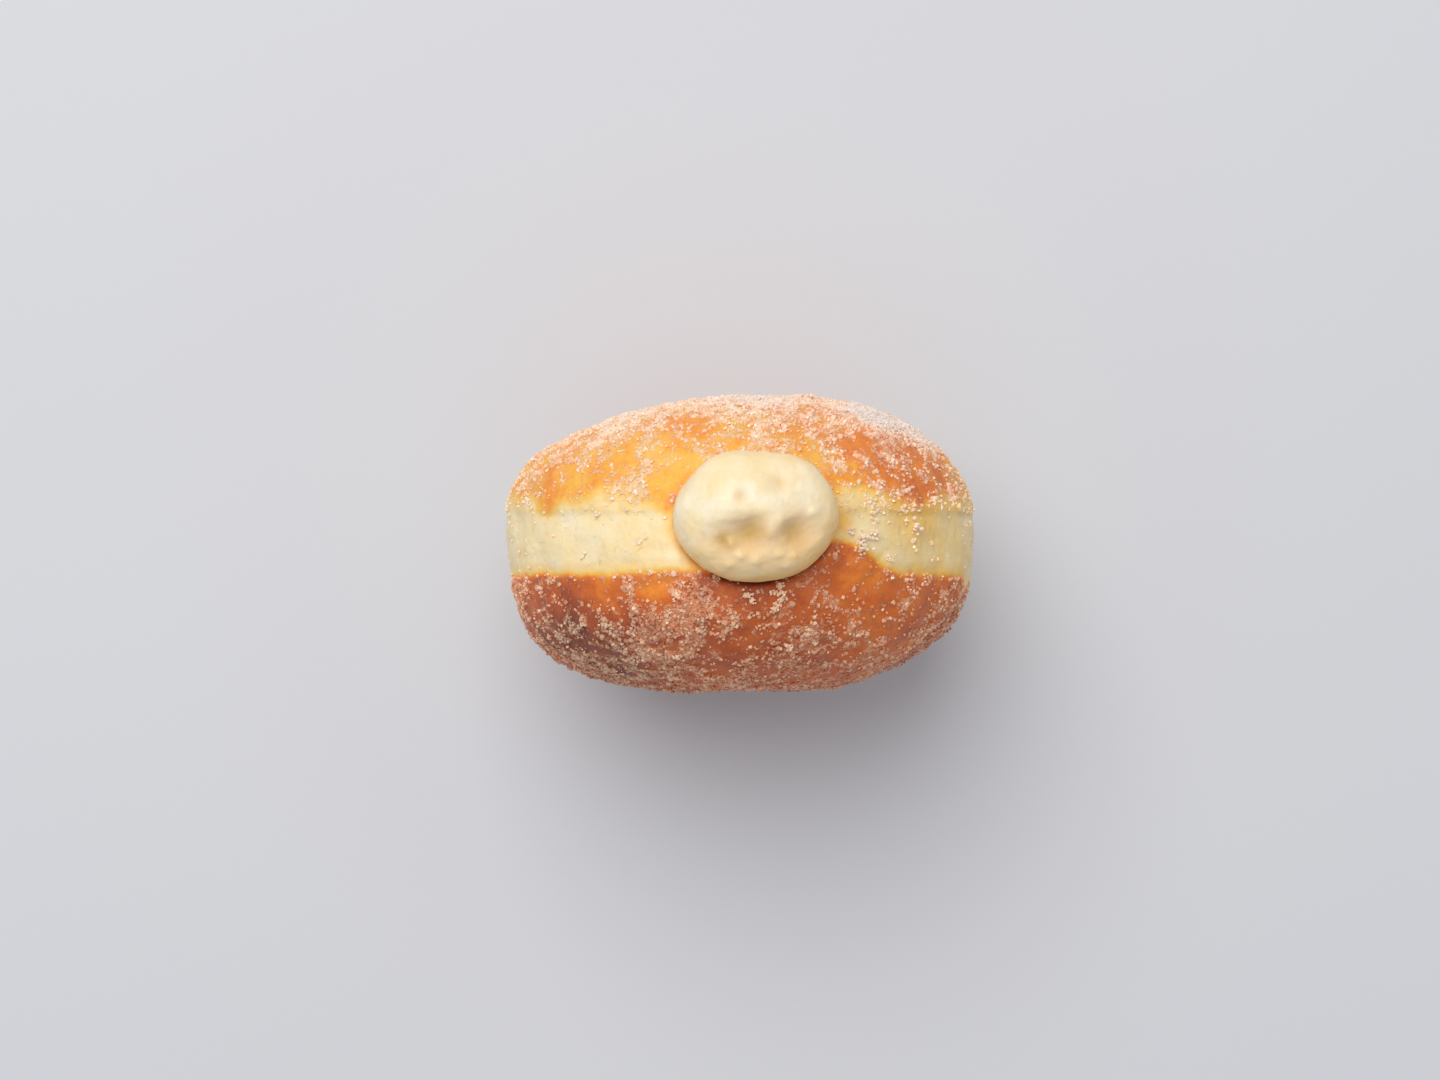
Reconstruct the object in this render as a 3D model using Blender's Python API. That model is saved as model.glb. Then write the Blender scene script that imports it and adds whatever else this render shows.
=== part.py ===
"""A round fried doughnut, rolled in sugar and filled with cream.

It stands on its rim, the way it was set down: the hole that the cream was piped
through faces straight up (+Z), the paler crust faces +Y and the browner one -Y.
The origin is on the surface it stands on, under the middle of the doughnut.

Run it with: blender --background --python part.py
"""
import math
import random

import bmesh
import bpy
from mathutils import Matrix, Vector, noise

MM = 0.001

# The dough. Its section through the axis is a superellipse, turned about Y.
DOUGH_RADIUS = 45.9 * MM
DOUGH_HALF_THICKNESS = 29.0 * MM
SECTION_POWER = 2.45
DOUGH_SUBDIVISIONS = 5
# How deep the rim is pressed flat where the doughnut stands on it.
REST_SAG = 1.8 * MM
REST_DROP = DOUGH_RADIUS - REST_SAG

# Rises and dents of the skin: where, as a point near the skin, how wide and how high.
SKIN_SWELLS = (
    ("flat shoulder of the pale crust", (-29, 25, 4), 15, -2.0),
    ("full shoulder of the brown crust", (-35, -23, 4), 15, 0.6),
    ("corner of the pale crust", (27, 26, 6), 11, 0.5),
    ("lean shoulder of the brown crust", (31, -24, 4), 13, -0.8),
    ("upper left corner", (-40, 17, 4), 11, 0.9),
    ("lower left corner", (-37, -20, 4), 11, 0.6),
    ("step below the band, right end", (45, -9, 4), 7, -0.9),
    ("step below the band, left end", (-45, -7, 4), 5, -0.9),
    ("thumb dent beside the corner", (19, 22, 31), 9, -1.3),
    ("hollow left of the cream", (-19, 15, 39), 11, -1.2),
    ("full shoulder below the cream", (-6, -20, 37), 13, 1.0),
    ("dent in the middle of the pale crust", (-3, 30, -6), 13, -1.5),
    ("dent in the middle of the brown crust", (4, -30, 5), 14, -1.2),
    ("far shoulder", (20, 19, -34), 15, -1.4),
    ("far swell", (-24, -12, -36), 14, 1.1),
)
WAIST_MIDDLE = 1.0 * MM
WAIST_HALF_WIDTH = 6.5 * MM
WAIST_DEPTH = 0.2 * MM
# The wander of the skin, as (size of a lump, height of a lump).
SKIN_WANDER = ((48 * MM, 1.1 * MM), (21 * MM, 0.6 * MM), (8 * MM, 0.35 * MM))

# The cream: a dollop on the rim, a neck through the hole and the filling behind it.
DOLLOP_CENTRE = Vector((2.4, 5.2, 46.4)) * MM
DOLLOP_HALF_SIZE = Vector((15.1, 11.7, 9.4)) * MM
DOLLOP_SUBDIVISIONS = 4
DOLLOP_SWELLS = (
    ("upper lobe", (-5, 4, 9), 7.0, 0.9),
    ("hollow under the upper lobe", (-1.5, -3.2, 9.5), 3.8, -1.9),
    ("hollow on the right", (8.0, -2.6, 8), 3.6, -1.5),
    ("ridge between the hollows", (3.6, -1.4, 10), 2.4, 0.9),
    ("lower lip", (-3, -8, 6), 5.0, 0.8),
    ("dimple of the upper lobe", (-2.6, 3.8, 10), 1.9, -0.7),
    ("right cheek", (11.5, 2.5, 4), 5.0, 0.6),
    ("full corner on the upper right", (9, 9, 2), 5.0, 1.2),
    ("full corner on the upper left", (-6, 10, 2), 5.0, 1.1),
)
DOLLOP_WANDER = ((8 * MM, 0.35 * MM),)
NECK_RADIUS = 7.0 * MM
NECK_SIDES = 24
FILLING_CENTRE = Vector((1.0, 1.0, 9.0)) * MM
FILLING_HALF_SIZE = Vector((18.0, 10.5, 15.0)) * MM
FILLING_SUBDIVISIONS = 3
# The dough stays this far from the cream.
CREAM_GAP = 0.35 * MM

# Coarse sugar, the crystals and small clumps that show from a step away.
SUGAR_PLACES = 180
SUGAR_SMALLEST = 1.2 * MM
SUGAR_LARGEST = 1.9 * MM
SUGAR_SEED = 7
SUGAR_CLEAR_OF_REST = 5 * MM
SUGAR_CLEAR_OF_CREAM = 4 * MM
BARE_BAND_HALF_WIDTH = 6 * MM

DOUGH_COLOUR = (0.62, 0.30, 0.09, 1.0)
CREAM_COLOUR = (0.90, 0.80, 0.60, 1.0)


def clear_scene():
    for old in list(bpy.data.objects):
        bpy.data.objects.remove(old)


def new_collection(name):
    collection = bpy.data.collections.new(name)
    bpy.context.scene.collection.children.link(collection)
    return collection


def new_material(name, colour, roughness):
    material = bpy.data.materials.new(name)
    material.use_nodes = True
    shader = material.node_tree.nodes["Principled BSDF"]
    shader.inputs["Base Color"].default_value = colour
    shader.inputs["Roughness"].default_value = roughness
    shader.inputs["Metallic"].default_value = 0.0
    return material


def object_from(name, mesh_maker, collection):
    """A new object whose mesh is what mesh_maker leaves in an empty bmesh."""
    shape = bmesh.new()
    mesh_maker(shape)
    mesh = bpy.data.meshes.new(name)
    shape.to_mesh(mesh)
    shape.free()
    made = bpy.data.objects.new(name, mesh)
    collection.objects.link(made)
    return made


def swell_at(place, swells):
    """The height that a list of rises and dents gives at one place."""
    height = 0.0
    for _, middle, width, rise in swells:
        away = (place - Vector(middle) * MM).length / (width * MM)
        height += rise * MM * math.exp(-away * away)
    return height


def wander_at(place, wander):
    """The uneven height that soft lumps of a few sizes give at one place."""
    return sum(height * noise.noise(place / size) for size, height in wander)


def dough_skin(direction):
    """The point of the skin in one direction from the doughnut's centre."""
    towards = direction.normalized()
    across = math.hypot(towards.x, towards.z) / DOUGH_RADIUS
    along = abs(towards.y) / DOUGH_HALF_THICKNESS
    reach = (across**SECTION_POWER + along**SECTION_POWER) ** (-1 / SECTION_POWER)
    place = towards * reach
    from_waist = (place.y - WAIST_MIDDLE) / WAIST_HALF_WIDTH
    reach -= WAIST_DEPTH * math.exp(-from_waist * from_waist)
    reach += swell_at(place, SKIN_SWELLS) + wander_at(place, SKIN_WANDER)
    return towards * reach


def shape_dough(shape):
    """A ball pushed out to the doughnut's skin and cut flat where it stands."""
    bmesh.ops.create_icosphere(shape, subdivisions=DOUGH_SUBDIVISIONS, radius=1.0)
    for vertex in shape.verts:
        vertex.co = dough_skin(vertex.co)
    everything = shape.verts[:] + shape.edges[:] + shape.faces[:]
    cut = bmesh.ops.bisect_plane(
        shape,
        geom=everything,
        plane_co=(0, 0, -REST_DROP),
        plane_no=(0, 0, -1),
        clear_outer=True,
    )
    rim = [part for part in cut["geom_cut"] if isinstance(part, bmesh.types.BMEdge)]
    bmesh.ops.contextual_create(shape, geom=rim)
    bmesh.ops.recalc_face_normals(shape, faces=shape.faces[:])


def dollop_skin(direction, gap):
    """The point of the dollop in one direction from its centre, moved out by gap."""
    towards = direction.normalized()
    place = Vector(side * size for side, size in zip(towards, DOLLOP_HALF_SIZE))
    height = swell_at(place, DOLLOP_SWELLS) + wander_at(place, DOLLOP_WANDER)
    outwards = Vector(side / size for side, size in zip(towards, DOLLOP_HALF_SIZE))
    return DOLLOP_CENTRE + place + outwards.normalized() * (height + gap)


def dollop_maker(gap):
    def shape_dollop(shape):
        bmesh.ops.create_icosphere(shape, subdivisions=DOLLOP_SUBDIVISIONS, radius=1.0)
        for vertex in shape.verts:
            vertex.co = dollop_skin(vertex.co, gap)

    return shape_dollop


def neck_maker(gap):
    """A round neck from the middle of the filling to the middle of the dollop."""
    run = DOLLOP_CENTRE - FILLING_CENTRE
    lean = Vector((0, 0, 1)).rotation_difference(run).to_matrix().to_4x4()

    def shape_neck(shape):
        bmesh.ops.create_cone(
            shape,
            cap_ends=True,
            segments=NECK_SIDES,
            radius1=NECK_RADIUS + gap,
            radius2=NECK_RADIUS + gap,
            depth=run.length,
            matrix=Matrix.Translation(FILLING_CENTRE + run / 2) @ lean,
        )

    return shape_neck


def filling_maker(gap):
    stretch = Matrix.Diagonal(FILLING_HALF_SIZE + Vector((gap, gap, gap))).to_4x4()

    def shape_filling(shape):
        bmesh.ops.create_icosphere(
            shape,
            subdivisions=FILLING_SUBDIVISIONS,
            radius=1.0,
            matrix=Matrix.Translation(FILLING_CENTRE) @ stretch,
        )

    return shape_filling


def apply_boolean(target, operation, **operand):
    """Joins to target, or cuts from it, an object or a collection of them."""
    joint = target.modifiers.new(operation.lower(), "BOOLEAN")
    joint.operation = operation
    joint.solver = "EXACT"
    for setting, value in operand.items():
        setattr(joint, setting, value)
    with bpy.context.temp_override(object=target):
        bpy.ops.object.modifier_apply(modifier=joint.name)


def remove_collection(collection):
    for used in list(collection.objects):
        bpy.data.objects.remove(used)
    bpy.data.collections.remove(collection)


def make_cream(name, collection, gap):
    """The dollop, neck and filling as one solid, each moved out by gap."""
    cream = object_from(name, dollop_maker(gap), collection)
    inner = new_collection(name + "_inner")
    object_from(name + "_neck", neck_maker(gap), inner)
    object_from(name + "_filling", filling_maker(gap), inner)
    apply_boolean(cream, "UNION", operand_type="COLLECTION", collection=inner)
    remove_collection(inner)
    return cream


def near_cream(place):
    """True where a crystal would touch the dollop."""
    reach = SUGAR_CLEAR_OF_CREAM
    offset = place - DOLLOP_CENTRE
    spread = DOLLOP_HALF_SIZE + Vector((reach, reach, reach))
    return sum((side / size) ** 2 for side, size in zip(offset, spread)) < 1


def sugar_places():
    """Evenly spread points of the skin that coarse sugar sticks to."""
    turn = math.pi * (3 - math.sqrt(5))
    for index in range(SUGAR_PLACES):
        height = 1 - (2 * index + 1) / SUGAR_PLACES
        ring = math.sqrt(1 - height * height)
        towards = Vector((ring * math.cos(index * turn), height, ring * math.sin(index * turn)))
        place = dough_skin(towards)
        standing_on = place.z < -REST_DROP + SUGAR_CLEAR_OF_REST
        on_bare_band = abs(place.y - WAIST_MIDDLE) < BARE_BAND_HALF_WIDTH and index % 3
        if not (standing_on or on_bare_band or near_cream(place)):
            yield place


def crystal_maker(place, draw):
    """One blocky crystal, half sunk in the skin and turned any way."""
    size = draw.uniform(SUGAR_SMALLEST, SUGAR_LARGEST)
    sides = Vector((size, size * draw.uniform(0.7, 1.0), size * draw.uniform(0.6, 0.9)))
    turned = Matrix.Rotation(draw.uniform(0, math.tau), 4, Vector((draw.random(), draw.random(), 1)))

    def shape_crystal(shape):
        matrix = Matrix.Translation(place) @ turned @ Matrix.Diagonal(sides).to_4x4()
        bmesh.ops.create_cube(shape, size=1.0, matrix=matrix)

    return shape_crystal


def fuse_sugar(dough):
    """Makes the coarse sugar one solid with the dough that it sticks to."""
    draw = random.Random(SUGAR_SEED)
    sugar = new_collection("sugar")
    for place in sugar_places():
        object_from("crystal", crystal_maker(place, draw), sugar)
    apply_boolean(dough, "UNION", operand_type="COLLECTION", collection=sugar)
    remove_collection(sugar)


def make_dough(collection, cream_cutter):
    dough = object_from("dough", shape_dough, collection)
    fuse_sugar(dough)
    apply_boolean(dough, "DIFFERENCE", object=cream_cutter)
    return dough


def shade_round(piece, crease_angle):
    piece.data.shade_smooth()
    piece.data.set_sharp_from_angle(angle=crease_angle)


def stand_on_origin(pieces, widest):
    """Stands the pieces on z = 0, with the widest one's middle over the origin."""
    corners = [vertex.co for vertex in widest.data.vertices]
    middle_x = (min(c.x for c in corners) + max(c.x for c in corners)) / 2
    middle_y = (min(c.y for c in corners) + max(c.y for c in corners)) / 2
    stand = bpy.data.objects.new("doughnut", None)
    stand.location = (-middle_x, -middle_y, REST_DROP)
    widest.users_collection[0].objects.link(stand)
    for piece in pieces:
        piece.parent = stand


def main():
    clear_scene()
    doughnut = new_collection("doughnut")
    cutters = new_collection("cutters")

    cream = make_cream("cream", doughnut, 0.0)
    cream.data.materials.append(new_material("cream", CREAM_COLOUR, 0.45))

    cream_cutter = make_cream("cream_cutter", cutters, CREAM_GAP)
    cream_cutter.hide_render = True
    cream_cutter.display_type = "WIRE"

    dough = make_dough(doughnut, cream_cutter)
    dough.data.materials.append(new_material("dough", DOUGH_COLOUR, 0.6))

    shade_round(cream, math.radians(50))
    shade_round(dough, math.radians(40))
    stand_on_origin((dough, cream, cream_cutter), dough)


main()
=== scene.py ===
# %% [markdown]
# A sugared doughnut with a cream filling.
#
# This notebook dresses a doughnut whose solids already exist: a round of fried dough that
# stands on its rim, and the cream that wells out of the hole in that rim. The solids have the
# right sizes but plain surfaces. Each step below explains one part of the real thing and one
# way to make it: the baked skin, its colours, the cream, and thousands of sugar crystals.
#
# The doughnut's own axis lies along Y. Its paler crust faces +Y and its browner one -Y, and
# the cream faces straight up, towards the camera.

# %% Load the solids that everything is fitted to
import math

import bpy
import numpy as np
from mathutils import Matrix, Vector, noise


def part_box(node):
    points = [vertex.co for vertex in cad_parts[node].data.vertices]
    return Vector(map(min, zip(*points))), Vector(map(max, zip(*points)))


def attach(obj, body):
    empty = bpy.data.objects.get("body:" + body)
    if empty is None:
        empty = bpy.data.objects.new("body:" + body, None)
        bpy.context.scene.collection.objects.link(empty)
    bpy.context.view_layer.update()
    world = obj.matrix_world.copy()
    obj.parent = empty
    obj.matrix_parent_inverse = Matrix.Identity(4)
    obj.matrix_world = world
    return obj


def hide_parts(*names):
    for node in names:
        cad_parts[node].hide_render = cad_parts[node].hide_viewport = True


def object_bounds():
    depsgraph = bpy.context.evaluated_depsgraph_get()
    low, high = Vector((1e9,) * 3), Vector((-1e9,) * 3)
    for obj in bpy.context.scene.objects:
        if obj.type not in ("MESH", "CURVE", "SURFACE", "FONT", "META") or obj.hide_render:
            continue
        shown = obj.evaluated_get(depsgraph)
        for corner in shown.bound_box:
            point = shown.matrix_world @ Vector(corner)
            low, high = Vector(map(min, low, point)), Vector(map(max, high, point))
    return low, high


MM = 0.001
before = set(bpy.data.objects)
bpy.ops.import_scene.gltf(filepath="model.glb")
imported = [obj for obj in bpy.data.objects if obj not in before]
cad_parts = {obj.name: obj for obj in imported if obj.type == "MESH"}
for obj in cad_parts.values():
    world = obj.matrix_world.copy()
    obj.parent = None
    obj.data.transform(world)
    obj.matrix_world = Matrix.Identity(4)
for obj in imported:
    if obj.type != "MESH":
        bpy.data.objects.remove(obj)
solid_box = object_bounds()
dough_low, dough_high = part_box("dough")
cream_low, cream_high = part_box("cream")
print("dough, mm:", [round(side / MM, 1) for side in dough_high - dough_low])
print("cream, mm:", [round(side / MM, 1) for side in cream_high - cream_low])

# %% [markdown]
# Where things are.
#
# The middle of the dough is the point that most rules below measure from. It lies on the
# doughnut's axis, half of its width above the floor, less the part that is pressed flat where
# the doughnut stands. The dollop's middle lies half its depth below the top of the cream's box;
# its other measures and its half sizes are given.

# %% Name the middle of the dough and of the dollop
DOUGH_RADIUS = 45.9 * MM
REST_SAG = 1.8 * MM
DOLLOP_DEPTH = 19.0 * MM
DOLLOP_HALF_SIZE = Vector((15.1, 11.7, 9.4)) * MM
FILLING_DROP = 37.4 * MM

hub = Vector((0, 0, DOUGH_RADIUS - REST_SAG))
dollop_middle = Vector((2.0, 5.5, cream_high.z / MM - DOLLOP_DEPTH / MM / 2)) * MM
filling_middle = dollop_middle - Vector((1.4, 4.2, FILLING_DROP / MM)) * MM
print("hub, mm:", hub / MM, "dollop, mm:", dollop_middle / MM)

# %% [markdown]
# Small helpers.
#
# Blender's operators act on whatever is selected, so the first helper makes sure that one
# piece alone is. The others are the few actions that every piece needs: start from a solid,
# add a modifier and apply it, and read or write the mesh as plain arrays.


# %% Helpers for pieces and their meshes
def take_only(piece):
    bpy.ops.object.select_all(action="DESELECT")
    piece.select_set(True)
    bpy.context.view_layer.objects.active = piece


def copy_of_solid(node, name):
    """A new piece with the mesh of a solid, its loose triangles sewn together."""
    piece = bpy.data.objects.new(name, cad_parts[node].data.copy())
    bpy.context.scene.collection.objects.link(piece)
    piece.data.materials.clear()
    take_only(piece)
    bpy.ops.object.mode_set(mode="EDIT")
    bpy.ops.mesh.select_all(action="SELECT")
    bpy.ops.mesh.remove_doubles(threshold=0.001 * MM)
    bpy.ops.object.mode_set(mode="OBJECT")
    return piece


def apply_modifier(piece, kind, **settings):
    """Adds a modifier, sets it and makes its result the mesh."""
    modifier = piece.modifiers.new(kind.title(), kind)
    for setting, value in settings.items():
        setattr(modifier, setting, value)
    take_only(piece)
    bpy.ops.object.modifier_apply(modifier=modifier.name)


def points_of(piece):
    points = np.empty(len(piece.data.vertices) * 3)
    piece.data.vertices.foreach_get("co", points)
    return points.reshape(-1, 3)


def normals_of(piece):
    normals = np.empty(len(piece.data.vertices) * 3)
    piece.data.vertex_normals.foreach_get("vector", normals)
    return normals.reshape(-1, 3)


def move_points(piece, points):
    piece.data.vertices.foreach_set("co", points.ravel())
    piece.data.update()


def triangle_count(piece):
    piece.data.calc_loop_triangles()
    return len(piece.data.loop_triangles)


# %% [markdown]
# Smooth noise as numbers.
#
# Baked things are uneven in a soft way. Blender's own noise gives one number for each place,
# and the same number each time, so it can shape a mesh, bend the edge of a colour or thin out
# the sugar. `soft_noise` asks it for every vertex at once. `spots` adds up round patches, each
# with a place, a width and a strength, for the features that the real doughnut has in one place.


# %% Helpers for noise and for patches
def soft_noise(points, lump, seed=0.0):
    """Noise from about -1 to 1, with lumps of the given size in metres."""
    shift = Vector((seed, seed * 0.7, -seed))
    return np.array([noise.noise(Vector(p) / lump + shift) for p in points])


def rough_noise(points, lump, octaves, seed=0.0):
    """Like soft_noise, with finer and finer lumps on top."""
    return sum(soft_noise(points, lump / 2**k, seed + 9.1 * k) / 2**k for k in range(octaves))


def spots(points, patches):
    """Sums round patches. Each is a name, a place in mm from the hub, a width and a strength."""
    total = np.zeros(len(points))
    for _, middle, width, strength in patches:
        away = np.linalg.norm(points - np.array(hub) - np.array(middle) * MM, axis=1)
        total += strength * np.exp(-((away / (width * MM)) ** 2))
    return total


def step(value, low, high):
    """0 below low, 1 above high, and a smooth rise between them."""
    share = np.clip((value - low) / (high - low), 0, 1)
    return share * share * (3 - 2 * share)


# %% [markdown]
# The skin of the dough.
#
# A real doughnut's skin is soft and closed, with no flat facets. A voxel remesh turns the
# faceted solid into an even net of small squares, some rounds of smoothing melt its edges,
# and one subdivision makes it fine enough to carry wrinkles less than a millimetre deep.
# Sculpting by hand would also do, but this way the skin stays where the solid is.

# %% Turn the faceted solid into an even, soft skin
SKIN_NET = 1.25 * MM
dough = copy_of_solid("dough", "dough_skin")
apply_modifier(dough, "REMESH", mode="VOXEL", voxel_size=SKIN_NET, use_smooth_shade=True)
apply_modifier(dough, "SMOOTH", factor=0.5, iterations=10)
apply_modifier(dough, "SUBSURF", levels=1, render_levels=1)
print("dough skin:", triangle_count(dough), "triangles")

# %% [markdown]
# Where the dough is pale and where it is brown.
#
# A doughnut floats while it fries. Each side browns in turn, and the waist, which never goes
# under the fat, stays pale. So the skin has three zones along Y: the browner crust, the pale
# band and the paler crust. The fat leaves a sharp line below the band and a ragged one above
# it. The lines are worked out for each vertex, because both the wrinkles and the colours
# follow them.

# %% Find the edges of the pale band
BAND_LOW = -5.9 * MM
BAND_HIGH = 9.0 * MM
CREASE = 6.0 * MM
LOW_LINE_RISES = (
    ("brown crust that climbs beside the cream", (17.5, -3, 42), 8.5, 7.6),
    ("rise left of the cream", (-12, -5, 44), 12, 1.0),
    ("dip at the left end", (-44, -7, 4), 9, -0.9),
    ("dip at the right end", (45.5, -8, 7), 7, -3.4),
)
HIGH_LINE_RISES = (
    ("orange streak at the left end", (-36.3, 7, 26), 3.6, -4.6),
    ("orange patch beside the streak", (-31, 9, 30), 3.5, -1.6),
    ("pale rise between the patches", (-24, 10, 36), 5, 0.8),
    ("gold tongue left of the cream", (-12, 8, 43), 4.5, -2.6),
    ("pale rise right of the cream", (21, 10, 39), 6, 1.4),
    ("brown tongue on the right", (34, 9, 28), 5, -1.0),
)
LOW_LINE_SWAY_MM = 0.5
LOW_LINE_FRAY_MM = 0.4
HIGH_LINE_SWAY_MM = 0.9
HIGH_LINE_FRAY_MM = 1.2
SQUEEZED_ALONG_Y = np.array([1, 0.25, 1])
HIGH_EDGE = (-1.5 * MM, 1.5 * MM)
LOW_EDGE = (-0.9 * MM, 0.6 * MM)


def band_edges(points):
    """For each point: how far it is above the band's upper line and below its lower line."""
    along = points[:, 1]
    squeezed = points * SQUEEZED_ALONG_Y
    sway = LOW_LINE_SWAY_MM * soft_noise(squeezed, 14 * MM, seed=3)
    fray = LOW_LINE_FRAY_MM * soft_noise(squeezed, 3 * MM, seed=4)
    low = BAND_LOW + spots(points, LOW_LINE_RISES) * MM
    low += (sway + fray) * MM
    sway = HIGH_LINE_SWAY_MM * soft_noise(squeezed, 11 * MM, seed=5)
    fray = HIGH_LINE_FRAY_MM * soft_noise(points, 3.5 * MM, seed=6)
    high = BAND_HIGH + spots(points, HIGH_LINE_RISES) * MM
    high += (sway + fray) * MM
    return along - high, low - along


def band_share(points):
    """How far each point belongs to the pale band: 1 on it and 0 on either crust."""
    above, below = band_edges(points)
    return 1 - np.clip(step(above, *HIGH_EDGE) + step(below, *LOW_EDGE), 0, 1)


band = band_share(points_of(dough))
print("share of the skin that is pale band:", round(float(band.mean()), 2))

# %% [markdown]
# Relief of the skin.
#
# The crust dries first and wrinkles as the doughnut settles, and small blisters stay in it.
# The band is softer: it keeps shallow pores and faint stretch lines that run round the waist.
# Where the crust ends it stands a little proud of the band. All of this is added along the
# skin's normals. A Displace modifier could do the same with a texture, but the zones and the
# fat's lines are already at hand as numbers.

# %% Wrinkle the crust and stretch the band
LUMP_HEIGHT = 0.42 * MM
WRINKLE_HEIGHT = 0.24 * MM
BAND_RIPPLE_HEIGHT = 0.22 * MM
PORE_DEPTH = 0.2 * MM
CRUST_EDGE_HEIGHT = 0.45 * MM
CRUST_EDGE_WIDTH = 0.6 * MM
CRUST_EDGE_REACH = 3.5 * MM
WRINKLES_ON_BAND = 0.35
ROUND_THE_WAIST = np.array([0.35, 1.6, 0.35])
PORES_WHERE = (0.38, 0.62)
FULLER_PLACES = (
    ("upper left shoulder", (-40, 17, 4), 11, 0.2),
    ("lower left shoulder", (-37, -20, 4), 11, 0.2),
    ("belly of the brown crust", (4, -28, 6), 18, 0.25),
    ("left end", (-45, 2, 2), 9, 0.15),
)


def crust_edge(points):
    """The ledge at the crease: the crust stands proud of the band by the edge's height."""
    along = points[:, 1]
    edge = CRUST_EDGE_HEIGHT * (step(along, CREASE - CRUST_EDGE_WIDTH, CREASE + CRUST_EDGE_WIDTH) - 0.5)
    return edge * np.exp(-(((along - CREASE) / CRUST_EDGE_REACH) ** 2))


def skin_relief(points):
    """How far each point of the skin moves outwards, in metres."""
    fuller = spots(points, FULLER_PLACES) * MM
    lumps = LUMP_HEIGHT * soft_noise(points, 5 * MM, seed=11)
    wrinkled = WRINKLES_ON_BAND + (1 - WRINKLES_ON_BAND) * (1 - band)
    wrinkles = WRINKLE_HEIGHT * rough_noise(points, 1.9 * MM, 2, seed=12) * wrinkled
    ripples = BAND_RIPPLE_HEIGHT * soft_noise(points * ROUND_THE_WAIST, 2.6 * MM, seed=13) * band
    pores = -PORE_DEPTH * step(soft_noise(points, 1.7 * MM, seed=14), *PORES_WHERE) * band
    return fuller + lumps + wrinkles + ripples + pores + crust_edge(points)


skin = points_of(dough)
outside = np.einsum("ij,ij->i", normals_of(dough), skin - np.array(filling_middle)) > 0
relief = skin_relief(skin) * outside
skin += normals_of(dough) * relief[:, None]
skin = np.clip(skin, np.array(solid_box[0]), np.array(solid_box[1]))
move_points(dough, skin)
print("relief, mm:", round(relief.min() / MM, 2), "to", round(relief.max() / MM, 2))

# %% [markdown]
# How brown each place is.
#
# One number says how far each place of the skin is fried, from 0 for raw-looking dough to 1
# for dark brown. It follows from the distance to the fat's lines, with a soft drift on top,
# because the heat is uneven. Round patches add what this doughnut has in one place only, such
# as the orange streak at its left end; two of them are painted shade below the cream. The skin
# is a little darker round the filling hole, and on the brown side that darker ring is painted
# shadow from the dollop.

# %% Name the patches that are fried more or less, and the painted shade below the cream
BROWNING_AND_SHADE = (
    ("orange streak at the left end", (-36.5, 11, 23), 6.5, 0.16),
    ("gold left of the cream", (-12, 14, 40), 9, -0.03),
    ("orange shoulder on the right", (24, 17, 30), 9, 0.11),
    ("brown corner of the pale crust", (35, 15, 22), 14, 0.17),
    ("brown far corner", (-20, 22, -30), 20, 0.15),
    ("middle of the pale crust", (0, 30, -8), 22, 0.12),
    ("middle of the brown crust", (0, -30, -8), 22, 0.10),
    ("orange below the line, far left", (-26, -8.7, 36.5), 4, -0.11),
    ("orange below the line, left", (-16, -8.3, 42.5), 4, -0.17),
    ("orange below the line, right", (22, -6, 39), 7, -0.06),
    # Painted shade: these two patches darken the crust below the cream's lower edge, where the dollop's
    # shadow falls.
    ("shaded brown below the cream", (2, -8, 45), 5, 0.22),
    ("brown left of the cream's lower edge", (-7, -7.5, 44.5), 2.5, 0.20),
    ("dark lower left", (-28, -19, 24), 14, 0.20),
    ("lighter crust on the lower right", (26, -18, 29), 13, -0.12),
    ("lighter rim of the brown crust", (0, -27, 16), 15, -0.13),
    ("lighter rim at the lower left", (-26, -26, 13), 9, -0.10),
    ("pale streak at the lower right", (33, -20, 20), 3.5, -0.30),
    ("pale spot at the lower right rim", (24, -25.5, 14), 4, -0.30),
)
BAND_TONES = (
    ("toasted right end of the band", (38, 1, 24), 17, 0.06),
    ("tan above the crease on the right", (32, 8, 30), 8, 0.15),
    ("white bloom on the left", (-30, 4, 34), 5, -0.03),
    ("yellow middle of the left band", (-22, 0, 40), 6, 0.03),
    ("white bloom right of the cream", (27, 3.5, 37), 4, -0.02),
    ("gold right of the cream", (18.5, 4.2, 41), 2.2, 0.16),
    ("gold left of the cream", (-13, 7, 43), 2.4, 0.10),
    ("dark nick where the crease meets the cream", (-14.0, 6.8, 43.2), 0.6, 0.45),
    ("far end of the band", (0, 0, -44), 24, 0.05),
)

# %% Work out how brown each place is
RAW_DOUGH = 0.045
ABOVE_CREASE = 0.05
PALE_CRUST = 0.27
PALE_CRUST_DEEPENS = 0.06
BROWN_CRUST = 0.56
BROWN_CRUST_DEEPENS = 0.13
TAN_ABOVE_LOW_LINE = 0.08
HOLE_RIM_ON_BAND = 0.09
DOLLOP_SHADOW_ON_BROWN = 0.27
HOLE_RIM_FLAT = np.array([1, 1, 0.6])
HOLE_RIM_WIDTH = (-1.16, -1.02)
CRUST_PATCHINESS = 0.08
CRUST_SPECKLE = 0.07
BAND_PATCHINESS = 0.05
PATCHY_WHERE_FRIED = 4


def hole_rim(points):
    """1 in a narrow ring of the skin round the dollop, where the filling hole was pushed in."""
    from_dollop = (points - np.array(dollop_middle)) / np.array(DOLLOP_HALF_SIZE)
    away = np.linalg.norm(from_dollop * HOLE_RIM_FLAT, axis=1)
    return step(-away, *HOLE_RIM_WIDTH) * (points[:, 2] > hub.z)


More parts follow.
